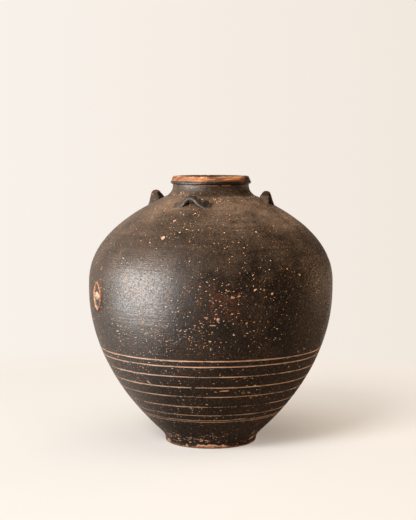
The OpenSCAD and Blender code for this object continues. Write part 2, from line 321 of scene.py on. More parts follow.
# Where small chips lie close together: angle, height, spread of both, how many, least and greatest
# half width, width over height, and lean
CLUSTERS = [
    (-114, 451, 14, 2.2, 20, 0.8, 1.2, 1.2, 0),
    (-64, 441, 8, 2.4, 20, 0.8, 1.5, 1.4, 0),
    (-122, 436, 7, 4.0, 10, 0.8, 1.4, 1.4, 0),
    (-96, 420, 14, 9.0, 16, 0.8, 1.3, 1.2, 0),
    (-119, 18, 15, 6.0, 56, 1.0, 1.9, 1.3, -8),
    (-84, 17, 9, 2.0, 12, 1.4, 3.0, 3.0, -5),
    (-60, 24, 16, 7.0, 18, 0.9, 1.7, 1.3, 0),
    (-70, 24, 3, 4.0, 8, 0.8, 1.4, 0.8, 0),
    (-112, 218, 15, 15, 62, 1.1, 2.2, 2.2, -3),
    (-85, 228, 13, 15, 44, 1.0, 2.0, 1.7, 0),
    (-64, 290, 11, 24, 18, 0.9, 1.9, 1.5, 0),
    (-66, 262, 10, 12, 8, 1.0, 2.4, 1.8, 0),
    (-116, 139, 4, 4.5, 7, 1.0, 2.2, 2.2, -35),
    (-50, 118, 6, 3.0, 10, 1.0, 2.2, 3.0, 0),
    (-33, 50, 7, 4.0, 10, 1.0, 2.0, 3.0, 0),
    (-90, 60, 25, 16, 30, 0.8, 1.5, 1.6, 0),
]


def scattered_marks():
    """Small chips from seeded draws, in the form of MARKS.

    The clusters come first, then single chips all over the belly, then some round the foot's back.
    """
    draw = np.random.default_rng(41)
    marks = []
    for angle, height, turn, rise, count, least, most, flat, lean in CLUSTERS:
        for _ in range(count):
            width = draw.uniform(least, most)
            marks.append((draw.normal(angle, turn), draw.normal(height, rise), width, width / flat,
                          draw.normal(lean, 12), -draw.uniform(0.15, 0.4), draw.uniform(0.7, 1),
                          draw.uniform(0.9 if height < 30 else 0.45, 1)))
    for _ in range(120):
        height = draw.normal(234, 42)
        width = draw.uniform(1.0, 1.9)
        marks.append((draw.uniform(-180, 180), height, width * draw.uniform(1, 2.4), width * 0.8,
                      draw.normal(0, 14), -draw.uniform(0.2, 0.45),
                      draw.uniform(0.6, 1), draw.uniform(0.2, 1)))
    for _ in range(60):
        marks.append((draw.uniform(-20, 220), draw.uniform(8, 28),
                      draw.uniform(1, 3), draw.uniform(0.8, 1.6),
                      draw.normal(0, 20), -draw.uniform(0.3, 0.6),
                      draw.uniform(0.7, 1), draw.uniform(0.5, 1)))
    return marks


ALL_MARKS = MARKS + scattered_marks()

# Where fine grit shows thickly: angle, height, spread of both and share
GRIT_PATCHES = [
    (-123, 432, 9, 5, 1.0), (-92, 434, 9, 5, 1.0), (-70, 437, 8, 5, 0.7), (-99, 419, 5, 8, 0.9),
    (-83, 420, 4, 7, 1.0), (-71, 418, 4, 7, 0.8), (-94, 400, 6, 7, 0.8), (-84, 400, 4, 7, 0.9),
    (-99, 381, 7, 8, 1.0), (-80, 372, 5, 13, 0.7), (-64, 380, 4, 9, 1.0), (-62, 366, 6, 8, 0.8),
    (-56, 372, 2, 16, 0.8), (-59, 344, 6, 7, 0.8), (-120, 338, 12, 8, 0.9), (-80, 322, 7, 12, 0.6),
    (-127, 300, 6, 22, 0.9), (-105, 306, 12, 12, 0.3), (-66, 286, 7, 9, 0.8), (-88, 264, 8, 9, 0.7),
    (-114, 236, 16, 12, 0.9), (-74, 240, 6, 14, 0.9), (-126, 204, 10, 16, 1.0), (-97, 212, 12, 15, 0.8),
    (-76, 206, 14, 9, 0.9), (-104, 160, 18, 9, 0.6), (-120, 128, 14, 14, 0.7), (-100, 62, 30, 12, 0.7),
    (-120, 24, 18, 8, 1.0), (25, 410, 24, 14, 0.6), (95, 330, 30, 16, 0.6), (150, 392, 24, 14, 0.6),
    (60, 230, 26, 16, 0.7), (140, 216, 30, 14, 0.8), (-160, 350, 14, 20, 0.6), (110, 28, 40, 8, 0.7),
]


def crowded(angle, height):
    """Share of fine grit: a round bump over each patch, added up and held at 1."""
    total = np.zeros(height.shape)
    for degrees, patch_h, turn, rise, share in GRIT_PATCHES:
        around = bump(turn_from(angle, degrees), math.radians(turn))
        total += share * around * bump(height - patch_h * MM, rise * MM)
    return np.clip(total, 0, 1)


def incised(length, angle, place):
    """The incised lines: each is a round-bottomed cut with a thin raised lip on both sides.

    With u the distance from the line over its half width, the cut is -(1 - u^2)^1.2 and the lips
    are bumps at u = 1.25, with a band painted dark outside them as the groove's shade. Width, depth and
    path wander round the jar, and the tool skips in places. Returns relief, bare share and painted shade
    share.
    """
    relief, bare, dark = np.zeros((3, *place.shape[:2]))
    for number, (at, share) in enumerate(zip(line_lengths, LINE_SHARES)):
        around = stacked(np.cos(angle), np.sin(angle), number)
        path = 0.35 * MM * noise(around, 0.35, 60 + number)
        worn = share * (0.83 + 0.42 * noise(around, 0.19, 70 + number) + 0.12 * np.cos(angle + 2.1))
        skip = smooth(noise(around, 0.11, 80 + number) + 0.25 * share, -0.62, -0.40)
        half = LINE_W / 2 * (0.75 + 0.3 * worn)
        u = (length[:, None] - at - path) / half
        cut = np.clip(1 - u * u, 0, None) ** 1.2
        lips = bump(u - 1.25, 0.25) + bump(u + 1.25, 0.25)
        relief += (0.16 * lips - cut) * LINE_DEPTH * worn * (0.35 + 0.65 * skip)
        bare = np.maximum(bare, smooth(1 - np.abs(u), -0.05, 0.4) * worn * skip)
        # Painted shade: a dark band just outside each lip, where the groove's shadow falls.
        dark = np.maximum(dark, (bump(u - 1.6, 0.5) + bump(u + 1.6, 0.5)) * skip)
    return relief, bare, dark * blotches(place, 6 * MM, 90, -0.8, 0.2)


def marked(place, angle, height):
    """The single marks, each a soft-edged leaning oval: relief, bare clay share and pale share.

    With u and v the distances along the oval's two half axes, its edge is where u^2 + v^2 = 1, made
    ragged by noise. Only the rows within its reach are worked out.
    """
    relief, bare, pale = np.zeros((3, *height.shape))
    radius = np.hypot(place[..., 0], place[..., 1])
    for degrees, mark_h, half_w, half_h, lean, out, clay, light in ALL_MARKS:
        reach = 2.2 * max(half_w, half_h) * MM
        rows = np.nonzero(np.abs(height[:, 0] - mark_h * MM) < reach)[0]
        if not len(rows):
            continue
        rows = slice(rows[0], rows[-1] + 1)
        across = turn_from(angle, degrees) * radius[rows]
        along = height[rows] - mark_h * MM
        c, s = math.cos(math.radians(lean)), math.sin(math.radians(lean))
        u = (across * c + along * s) / (half_w * MM)
        v = (along * c - across * s) / (half_h * MM)
        d = np.sqrt(u * u + v * v) + 0.25 * noise(place[rows], 3 * MM, 91)
        shape = smooth(-d, -1.15, -0.7)
        relief[rows] += out * MM * smooth(-d, -1.3, -0.2)
        bare[rows] = np.maximum(bare[rows], clay * shape)
        pale[rows] = np.maximum(pale[rows], light * shape)
    return relief, bare, pale


def skin(length, angle):
    """The outer skin at running lengths by angles: points outside, and paint shares.

    The point is the outline's, turned round the axis and moved along its normal by the relief: a slow
    swell, throwing ridges that climb slowly, small lumps, incised lines with painted shade beside them
    and single marks. Round the neck's foot runs a crease, painted dark as shade, with crust and dust
    below it, and under the rim a small rubbed fillet.
    """
    r, z, nr, nz = [values[:, None] for values in outline.at(length)]
    c, s = np.cos(angle), np.sin(angle)
    place = stacked(r * c, r * s, z)
    height = place[..., 2]
    relief = lumpy(place, 1, (0.45, 150), (0.20, 42), (0.07, 13), (0.035, 6.5))
    spiral = 2 * math.pi * height + RIDGE_CLIMB * angle
    ridges = 0.6 * np.sin(spiral / RIDGE_STEP) + 0.6 * np.sin(spiral / WIDE_RIDGE_STEP + 1)
    thrown = 0.35 + 0.65 * smooth(height, 0.19, 0.25)
    relief += 0.10 * MM * ridges * thrown * (0.6 + 0.6 * noise(place, 70 * MM, 5))
    lines, bare, dark = incised(length, angle, place)
    marks, chips, pale = marked(place, angle, height)
    below = (length - outline.length_at(CREASE_H))[:, None]
    crease = bump(below, 1.7 * MM) * (0.7 + 0.5 * noise(place, 20 * MM, 7))
    root = (length - outline.root)[:, None]
    ring = bump(root + 37 * MM, 1.2 * MM) * blotches(place, 45 * MM, 8, -0.2, 0.5)
    fillet = bump((length - outline.top)[:, None] + 1.6 * MM, 0.9 * MM)
    crusted = bump(below + 9 * MM, 8 * MM) * blotches(place, 34 * MM, 10, -0.25, 0.35)
    crust = crusted * blotches(place, 3.4 * MM, 11, 0.05, 0.6)
    relief += lines + marks
    relief += (-0.8 * crease - 0.3 * ring + 0.5 * fillet + 0.55 * crust) * MM
    rubbed = fillet * blotches(place, 14 * MM, 9, -0.5, 0.1)
    # The crease is painted dark, in patches, as shade.
    stained = crease * (0.25 + 1.1 * blotches(place, 24 * MM, 13, -0.15, 0.55))
    dust = smooth(below, 1 * MM, -3 * MM) * (0.8 * bump(below + 8 * MM, 22 * MM) + 0.35 * crusted)
    paint = {
        "clay": np.maximum.reduce([bare, chips, 0.45 * crust, 0.85 * rubbed]),
        "pale": np.maximum(pale, (bare > 0.05) * (0.75 + 0.35 * noise(place, 12 * MM, 12))),
        "dust": np.clip(dust, 0, 1),
        # Painted shade of the crease and beside the incised lines, and the darkened ring.
        "seam": np.clip(stained + 0.3 * ring + dark, 0, 1),
        "grit": crowded(angle, height),
    }
    return place + relief[..., None] * stacked(nr * c, nr * s, nz), paint


def revolve(section, angle):
    """Points of a section [radius, height] turned round the axis: rows by columns."""
    section = np.asarray(section)
    r, z = section[:, 0, None], section[:, 1, None]
    return stacked(r * np.cos(angle), r * np.sin(angle), z)


def grid_faces(rows, columns, ring=False):
    """Quads of a grid, rows by columns, closed round; as a ring its last row also joins its first."""
    row = np.arange(rows if ring else rows - 1)[:, None]
    column = np.arange(columns)
    here, above = row * columns, (row + 1) % rows * columns
    ahead = (column + 1) % columns
    corners = stacked(here + column, here + ahead, above + ahead, above + column)
    return corners.reshape(-1, 4).tolist()


def capped_faces(rows, columns):
    """Quads of a grid that is closed round, and the flat ends that close it."""
    ends = [list(range(columns))[::-1], list(range((rows - 1) * columns, rows * columns))]
    return grid_faces(rows, columns) + ends


def new_piece(name, points, faces, paint, finish):
    """A mesh object from arrays, riding on the jar in the place of the solid of the same name.

    Its paint shares are point attributes. A share that paint doesn't hold is 0 all over.
    """
    mesh = bpy.data.meshes.new(name)
    mesh.from_pydata(points.reshape(-1, 3).tolist(), [], faces)
    for share in ("clay", "pale", "dust", "seam", "grit"):
        values = np.broadcast_to(paint.get(share, 0), points.shape[:-1])
        layer = mesh.attributes.new(share, "FLOAT", "POINT")
        layer.data.foreach_set("value", np.ascontiguousarray(values, dtype=np.float32).ravel())
    mesh.update()
    mesh.validate()
    mesh.shade_smooth()
    mesh.set_sharp_from_angle(angle=SHARP_ANGLE)
    mesh.materials.append(finish)
    piece = bpy.data.objects.new(name, mesh)
    bpy.context.scene.collection.objects.link(piece)
    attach(piece, "root")
    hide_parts(name)
    return piece


def row_lengths(start, end):
    """Running lengths of a course's rows: wide apart on the plain wall, close at the incised lines."""
    fine = np.arange(start, end, 0.05 * MM)
    near = np.min(np.abs(fine[:, None] - line_lengths[None, :]), axis=1)
    step = np.where(near < 2.4 * MM, FINE_STEP, ROW_STEP)
    step = np.where(fine > outline.root - 16 * MM, 0.5 * ROW_STEP, step)
    count = np.concatenate([[0], np.cumsum(0.05 * MM / step)])[:-1]
    rows = max(4, int(round(count[-1])))
    inner = np.interp(np.linspace(0, count[-1], rows), count, fine)
    inner[0], inner[-1] = start, end
    return inner


def inner_rows(start, end):
    """Running lengths of the inside face's rows."""
    return np.linspace(start, end, max(4, int(abs(end - start) / INNER_STEP)))


def build_shell(name, outer, rest, finish):
    """A ring-shaped piece: dressed outer rows, then the plain rest of its section, closed both ways."""
    skin_points, paint = skin(outer, AROUND)
    plain = revolve(rest, AROUND)
    radius = np.hypot(plain[..., 0], plain[..., 1])
    plain = pushed_out(plain, 0.3 * MM * noise(plain, 30 * MM, 21), radius)
    points = np.concatenate([skin_points, plain])
    shares = {}
    for share, values in paint.items():
        shares[share] = np.concatenate([values, np.zeros(radius.shape)])
    return new_piece(name, points, grid_faces(len(points), COLUMNS, True), shares, finish)


def wall_course(name, low, high, low_lap, high_lap, finish):
    """One course of the wall between two running lengths, half-lapped at both ends."""
    rest = np.concatenate([
        outline.in_wall(np.array([high, high_lap]), 0.5),
        outline.in_wall(inner_rows(high_lap, low_lap), 1),
        outline.in_wall(np.array([low_lap, low]), 0.5),
    ])
    return build_shell(name, row_lengths(low, high), rest, finish)


def lapped(height):
    """Running length one lap above a height."""
    return outline.length_at(height + LAP)


def foot_course(finish):
    """First course: from the slab's ledge up to its lap, curving down inside to the floor slab."""
    low = outline.length_at(LEDGE_H)
    high = outline.length_at(SEAMS["foot"])
    high_lap = lapped(SEAMS["foot"])
    bend_at = outline.length_at(WAIST[1] + SLAB_T / 2)
    inside = outline.in_wall(bend_at, 1)
    taper = np.array([math.sin(TAPER_ANGLE), math.cos(TAPER_ANGLE)])
    bend = [(SLAB_R, SLAB_T), ((SLAB_R + inside[0]) / 2, SLAB_T), inside - taper * WALL / 2, inside]
    rest = np.concatenate([
        outline.in_wall(np.array([high, high_lap]), 0.5),
        outline.in_wall(inner_rows(high_lap, bend_at)[:-1], 1),
        cubic(bend, np.linspace(1, 0, 9)),
        [(SLAB_R, LEDGE_H)],
    ])
    return build_shell("foot_course", np.linspace(low, high, 30), rest, finish)


def neck_collar(finish):
    """Neck: dressed outside from the root to the rim, a step for the rim band, bore and inner bend."""
    lip_r, lip_h = NECK_R - FOLD_T, JAR_H - FOLD_T
    lap_at = outline.root - LAP
    foot_in = outline.in_wall(lap_at, 1)
    fall = np.array([math.cos(SHOULDER_FALL), -math.sin(SHOULDER_FALL)])
    bore_base = ROOT_H + BEND_RISE
    bend = [foot_in, foot_in - fall * WALL * 1.6, (MOUTH_R, bore_base - WALL), (MOUTH_R, bore_base)]
    bore = [(MOUTH_R, h) for h in np.linspace(lip_h, bore_base, 8)[:-1]]
    rest = np.concatenate([
        [(lip_r, RIM_BASE_H), (lip_r, lip_h)],
        bore,
        cubic(bend, np.linspace(1, 0, 12)),
        outline.in_wall(np.array([lap_at, outline.root]), 0.5),
    ])
    return build_shell("neck_collar", np.linspace(outline.root, outline.top, 34), rest, finish)


def rim_section():
    """Section of the rim band: step, bead, slanting face, rounded top and bore, as [radius, height]."""
    lip_r, lip_h = NECK_R - FOLD_T, JAR_H - FOLD_T
    bead = np.array([RIM_R - BEAD_R, RIM_BASE_H + BEAD_R])

    def arc(middle, radius, start, end, count):
        turn = np.radians(np.linspace(start, end, count))
        return np.asarray(middle) + radius * stacked(np.cos(turn), np.sin(turn))

    outer_top = (RIM_TOP_R - LIP_ROUND, JAR_H - LIP_ROUND)
    inner_top = (MOUTH_R + LIP_ROUND, JAR_H - LIP_ROUND)
    under = np.linspace((lip_r + 1 * MM, RIM_BASE_H), (bead[0], RIM_BASE_H), 8)[:-1]
    bead_arc = arc(bead, BEAD_R, -90, 20, 12)
    top = arc(outer_top, LIP_ROUND, 10, 90, 6)
    face = np.linspace(bead_arc[-1], top[0], 22)[1:-1]
    flat = np.linspace(top[-1], (inner_top[0], JAR_H), 10)[1:-1]
    inner = arc(inner_top, LIP_ROUND, 90, 180, 6)
    hidden = np.array([(MOUTH_R, lip_h), (lip_r, lip_h), (lip_r, RIM_BASE_H)])
    return np.concatenate([under, bead_arc, face, top, flat, inner, hidden])


def rim_band(finish):
    """Rim: the band's section turned round, its bead lumpy, its edges chipped, its glaze worn back.

    Lumps and grooves push its outside out and in. Chips, nicks and the crease of the fold go in.
    """
    section = rim_section()
    place = revolve(section, AROUND)
    r, z = section[:, 0, None], section[:, 1, None]
    outside = smooth(r, MOUTH_R + 2 * MM, MOUTH_R + 6 * MM)
    over_bead = z - RIM_BASE_H - BEAD_R
    in_bead = bump(over_bead, 3.2 * MM) * outside
    lumps = lumpy(place, 31, (0.35, 16), (0.16, 5))
    chips = blotches(place, 7 * MM, 33, 0.45, 0.8) * smooth(np.abs(z - JAR_H + 1 * MM), 3 * MM, 1 * MM)
    nicks = blotches(place, 5 * MM, 34, 0.5, 0.8) * bump(over_bead, 2 * MM)
    grooves = 0.12 * MM * np.sin(2 * math.pi * z / (2.9 * MM) + 2 * noise(place, 30 * MM, 35))
    on_face = smooth(z, RIM_BASE_H + 4 * MM, RIM_BASE_H + 6 * MM) * outside
    fold = bump(z - RIM_BASE_H - 5.3 * MM, 0.9 * MM) * outside * (0.7 + 0.5 * noise(place, 14 * MM, 39))
    out = lumps * (0.5 + in_bead) + grooves * on_face - (0.9 * chips + 0.8 * nicks + 0.45 * fold) * MM
    out = out * outside * smooth(r, MOUTH_R + 1 * MM, MOUTH_R + 3 * MM)
    points = pushed_out(place, out, r)
    dip = np.minimum(0, 0.25 * MM * noise(place, 9 * MM, 36) - 0.5 * MM * chips)
    points[..., 2] += dip * smooth(z, JAR_H - 2.5 * MM, JAR_H)
    edge = RIM_BASE_H + 5.0 * MM + 0.9 * MM * noise(place, 12 * MM, 37)
    right_end = bump(turn_from(AROUND, 4), 0.36)
    bare = smooth(z, edge, edge + 0.5 * MM) * smooth(r, MOUTH_R + 0.2 * MM, MOUTH_R + 2 * MM)
    bare = bare * (1 - 0.95 * right_end * blotches(place, 9 * MM, 38, -0.8, -0.1))
    turned = turn_from(AROUND, -86)
    stain = smooth(turned, 0, math.radians(14)) * smooth(turned, math.radians(150), math.radians(100))
    stain = stain * blotches(place * [0.3, 0.3, 1.8], 4 * MM, 40, -0.85, 0.35)
    paint = {
        "clay": np.clip(np.maximum(bare, 0.8 * nicks * outside), 0, 1),
        "pale": np.clip(chips + 0.35 * smooth(z, JAR_H - 1.2 * MM, JAR_H), 0, 1),
        # The fold's crease is painted dark as shade.
        "seam": np.clip(fold + 0.95 * stain * outside, 0, 1),
    }
    faces = grid_faces(len(points), COLUMNS, True)
    return new_piece("rim_band", points, faces, paint, finish)


def floor_slab(finish):
    """Floor slab: flat underside with a pole in its middle, rounded glaze-stained edge, ledge and top.

    The underside is hollowed a little inside the foot, with round string marks. The bare edge is
    ragged, higher at the front, with gouges and scorch clouds, and a dark band painted along its
    bottom as contact shadow.
    """
    curve = [(GROUND_R, 0), (FOOT_R - 1 * MM, 0), (FOOT_R, FOOT_EDGE_H / 2), (FOOT_R, FOOT_EDGE_H)]
    ledge = outline.length_at(LEDGE_H)
    section = np.concatenate([
        stacked(np.linspace(2 * MM, GROUND_R, 40)[:-1], 0),
        cubic(curve, np.linspace(0, 1, 10)),
        outline.in_wall(np.linspace(0, ledge, 6)[1:], 0),
        [(SLAB_R, LEDGE_H), (SLAB_R, SLAB_T)],
        stacked(np.linspace(SLAB_R, 2 * MM, 14)[1:], SLAB_T),
    ])
    place = revolve(section, AROUND)
    r, z = section[:, 0, None], section[:, 1, None]
    shown = smooth(r, FOOT_R - 6 * MM, FOOT_R - 1 * MM) * smooth(z, 0.3 * MM, 2 * MM)
    top_match = 1 - smooth(z, LEDGE_H - 1.5 * MM, LEDGE_H)
    lumps = lumpy(place, 51, (0.35, 14), (0.2, 5))
    gouges = blotches(place, 8 * MM, 53, 0.35, 0.8)
    points = pushed_out(place, (lumps - 0.9 * MM * gouges) * shown * top_match, r)
    drawn = np.sin(2 * math.pi * np.hypot(place[..., 0] - 0.09, place[..., 1] + 0.02) / (7 * MM))
    hollow = (0.12 * drawn + 0.32) * MM + lumpy(place, 54, (0.2, 16), (0.1, 8), (0.05, 4))
    inside_foot = smooth(r, GROUND_R - 3 * MM, GROUND_R - 9 * MM) * smooth(z, 1 * MM, 0.5 * MM)
    points[..., 2] += hollow * inside_foot
    front = smooth(np.abs(turn_from(AROUND, -71)), math.radians(24), math.radians(13))
    ragged = lumpy(place, 55, (1.3, 14), (1.2, 5))
    edge_h = 3.7 * MM + ragged + (4.4 * MM + lumpy(place, 57, (1.6, 7))) * front
    bare = smooth(edge_h - z, -0.4 * MM, 0.4 * MM)
    brink = bump(edge_h - z - 0.9 * MM, 1.0 * MM) * front
    scorch_and_contact_shade = blotches(place, 6 * MM, 58, 0.0, 0.6) * (1 - 0.4 * front)
    # Painted contact shadow: a dark band along the bottom edge.
    scorch_and_contact_shade = scorch_and_contact_shade + smooth(z, 2.5 * MM, 1.0 * MM)
    top_face = smooth(z, LEDGE_H + 1 * MM, LEDGE_H + 2 * MM)
    paint = {
        "clay": np.clip(bare * (1 - top_face) + 0.8 * gouges * shown, 0, 1),
        "pale": np.clip(0.5 * gouges * shown + brink * shown, 0, 1),
        "seam": np.clip(0.9 * scorch_and_contact_shade * shown, 0, 1),
    }
    for share, values in paint.items():
        paint[share] = np.concatenate([values.ravel(), [1.0 if share == "clay" else 0.0, 0.0]])
    rows = len(points)
    poles = np.array([[0, 0, 0.3 * MM], [0, 0, SLAB_T]])
    under, over = rows * COLUMNS, rows * COLUMNS + 1
    top_row = (rows - 1) * COLUMNS
    faces = [face[::-1] for face in grid_faces(rows, COLUMNS)]
    for step in range(COLUMNS):
        ahead = (step + 1) % COLUMNS
        faces.append([under, step, ahead])
        faces.append([over, top_row + ahead, top_row + step])
    points = np.concatenate([points.reshape(-1, 3), poles])
    return new_piece("floor_slab", points, faces, paint, finish)


def lug(name, turn, rise, seed, finish, lean=LUG_LEAN, skew=0, knob=0, stout=1.0, longer=0, bared=0):
    """A coil lug: an oval section carried along an arch that flares out into two pressed feet.

    v runs from -1 to 1 along the coil and a round its section. Sections widen and thin towards the
    feet, and turn from the lug's lean to the shoulder's fall. A thumb mark dents each foot. skew moves
    the crown sideways, knob is the height of a pinched lump on one foot, stout thickens the coil, longer
    is what is added to each foot, and bared is the share of clay that shows in patches.
    """
    rows, sides = 141, 44
    v = np.linspace(-1, 1, rows)
    a = np.linspace(0, 2 * math.pi, sides, endpoint=False)
    crown = rise - LUG_T / 2
    reach, dip = LUG_REACH + 4 * MM + longer, 0.6 * LUG_DIP
    half = [(0, crown), (LUG_HALF_W * 0.95, crown), (LUG_HALF_W * 0.75, -LUG_DIP / 2), (reach, -dip)]
    middle = cubic(half, np.abs(v)) * stacked(np.sign(v), 1)
    middle[:, 0] += skew * smooth(middle[:, 1], 0, crown)
    way = np.gradient(middle, axis=0)
    way /= np.linalg.norm(way, axis=1)[:, None]
    across = stacked(-way[:, 1], way[:, 0])
    at = outline.length_at(ROOT_H - (LUG_R - ROOT_R) * math.tan(SHOULDER_FALL) * 1.1)
    base_r, base_z, nr, nz = outline.at(at)
    fall = math.atan2(nr, nz)
    spread = np.sin(np.pi / 2 * np.abs(v)) ** 2
    pinched = bump(v - 0.82, 0.10)
    thick = LUG_T * stout * (1 + 0.12 * np.abs(v) - 1.02 * np.abs(v) ** 5) / 2 + knob * pinched
    deep = (LUG_CROWN_D + (LUG_FOOT_D - LUG_CROWN_D) * spread * (1 - 0.55 * np.abs(v) ** 6)) / 2
    twist = lean + (fall - lean) * spread
    cos_twist, sin_twist = np.cos(twist)[:, None], np.sin(twist)[:, None]
    d = deep[:, None] * np.sin(a)
    t = thick[:, None] * np.cos(a)
    y = middle[:, None, 0] + t * across[:, None, 0]
    up = middle[:, None, 1] + t * across[:, None, 1]
    local = stacked(up * math.tan(lean) + d * cos_twist, y, up - d * sin_twist)
    out = stacked(np.sin(a) * cos_twist, np.cos(a) * across[:, None, 0],
                  np.cos(a) * across[:, None, 1] - np.sin(a) * sin_twist)
    lumps = lumpy(local, seed, (0.55, 9), (0.22, 4))
    top_side = np.clip(np.cos(a), 0, 1)
    thumb = bump(np.abs(v)[:, None] - 0.78, 0.09) * top_side * bump(np.sin(a) + 0.1, 0.6)
    hole = bump(v[:, None] - 0.82, 0.05) * top_side * bump(np.sin(a) - 0.3, 0.45)
    local = local + (lumps - 1.1 * MM * thumb * (knob == 0) - 1.2 * knob * hole)[..., None] * out
    c, s = math.cos(turn), math.sin(turn)
    x = base_r + local[..., 0]
    points = stacked(x * c - local[..., 1] * s, x * s + local[..., 1] * c, base_z + local[..., 2])
    rub = blotches(points, 6 * MM, seed + 2, 0.35, 0.75)
    low = smooth(np.abs(v), 0.55, 0.9)[:, None]
    patches = bared * blotches(points, 8 * MM, seed + 3, 0.0, 0.35)
    paint = {
        "clay": np.clip(rub * (0.15 + 0.35 * low) + patches, 0, 1),
        "pale": np.clip(rub * 0.6 + 0.5 * patches, 0, 1),
        "dust": 0.05 + 0.45 * low,
        # The coil's underside is painted darker as shade under the arch, less on the knobbed front lug.
        "seam": np.clip((0.2 if knob else 0.5) * np.clip(-np.cos(a), 0, 1) * (1 - low)
                        + (knob > 0) * (hole + 0.5 + 0.3 * pinched[:, None]) + 0.2, 0, 1),
    }
    return new_piece(name, points, capped_faces(rows, sides), paint, finish)


def on_belly(across, along, out):
    """Points on the skin near the seal: distances round and up the wall, and out along the normal."""
    r, z, nr, nz = outline.at(outline.length_at(SEAL_H) + along)
    turn = SEAL_ANGLE + across / r
    radius = r + out * nr
    return stacked(radius * np.cos(turn), radius * np.sin(turn), z + out * nz)


def laid_on_belly(name, across, along, out, sunk, paint, finish):
    """A flat piece laid on the belly: its dressed top, and a plain bottom that is sunk in the skin.

    A share in paint is for the top alone, and one that is a plain number is for all of the piece.
    """
    bottom = on_belly(across[::-1], along[::-1], np.full(across.shape, -sunk))
    points = np.concatenate([on_belly(across, along, out), bottom])
    shares = {}
    for share, values in paint.items():
        whole = np.isscalar(values)
        shares[share] = values if whole else np.concatenate([values, np.zeros(across.shape)])
    return new_piece(name, points, capped_faces(*points.shape[:2]), shares, finish)


def seal_pad(finish):
    """Seal: a pointed oval laid on the belly, swept from its middle to its edge, with a raised ring.

    The outline is where two large circles cross. The ring is a round bump near the edge, uneven in
    height, and the field inside it is shallow and rough.
    """
    phi = np.linspace(0, 2 * math.pi, 240, endpoint=False)
    rho = np.concatenate([np.linspace(0.04, 0.62, 16), np.linspace(0.64, 1.0, 22)])[:, None]
    arc_r = (SEAL_LEN ** 2 + SEAL_W ** 2) / (4 * SEAL_W)
    shift = arc_r - SEAL_W / 2
    c, s = np.cos(phi), np.sin(phi)
    reach = -shift * np.abs(c) + np.sqrt(np.clip(arc_r ** 2 - (shift * s) ** 2, 0, None))
    reach = reach * (1 - 0.03 * np.abs(s) ** 8)
    across, along = rho * reach * c, rho * reach * s
    flat = stacked(across, along, 0)
    edge = (1 - rho) * reach
    ring = bump(edge - RING_W / 2, 0.55 * RING_W)
    uneven = 1 + 0.28 * noise(flat, 11 * MM, 61) + 0.15 * smooth(s, 0.2, 1)
    field = 0.45 * PAD_T
    out = field + 0.35 * MM * noise(flat, 4 * MM, 62) + (PAD_T + RING_T - field) * ring * uneven
    out = out * smooth(edge, -0.1 * MM, 1.0 * MM) - 0.6 * MM * smooth(-edge, -0.5 * MM, 0)
    paint = {
        "clay": smooth(ring + 0.35 * noise(flat, 3 * MM, 63), 0.35, 0.6),
        "pale": 0.3 * blotches(flat, 4 * MM, 64, 0.3, 0.8),
        "dust": 0.5,
        "seam": bump(edge, 0.9 * MM),
    }
    return laid_on_belly("seal_pad", across, along, out, 1.0 * MM, paint, finish)


def seal_pellet(finish):
    """Pellet: a low lumpy dome, its height falling as (1 - rho^2)^0.6, with a fissured top."""
    phi = np.linspace(0, 2 * math.pi, 96, endpoint=False)
    rho = np.linspace(0.03, 1.0, 26)[:, None]
    reach = PELLET_D / 2 * (1.08 + 0.12 * np.cos(2 * phi + 0.6) + 0.06 * np.cos(3 * phi))
    across, along = rho * reach * np.cos(phi), rho * reach * np.sin(phi)
    flat = stacked(across, along, 0)
    dome = np.clip(1 - rho ** 2, 0, None) ** 0.6
    out = PAD_T * 0.2 + (PELLET_RISE + 0.6 * PAD_T) * dome + 0.4 * MM * noise(flat, 3 * MM, 71) * dome
    stain = smooth(noise(flat, 4 * MM, 72) + 0.6 * (rho - 0.6), 0.1, 0.5)
    paint = {
        "clay": 1.0,
        "pale": 1 - 0.55 * stain,
        "seam": np.broadcast_to(bump(1 - rho, 0.06), across.shape),
    }
    return laid_on_belly("seal_pellet", across, along, out, 0.5 * MM, paint, finish)


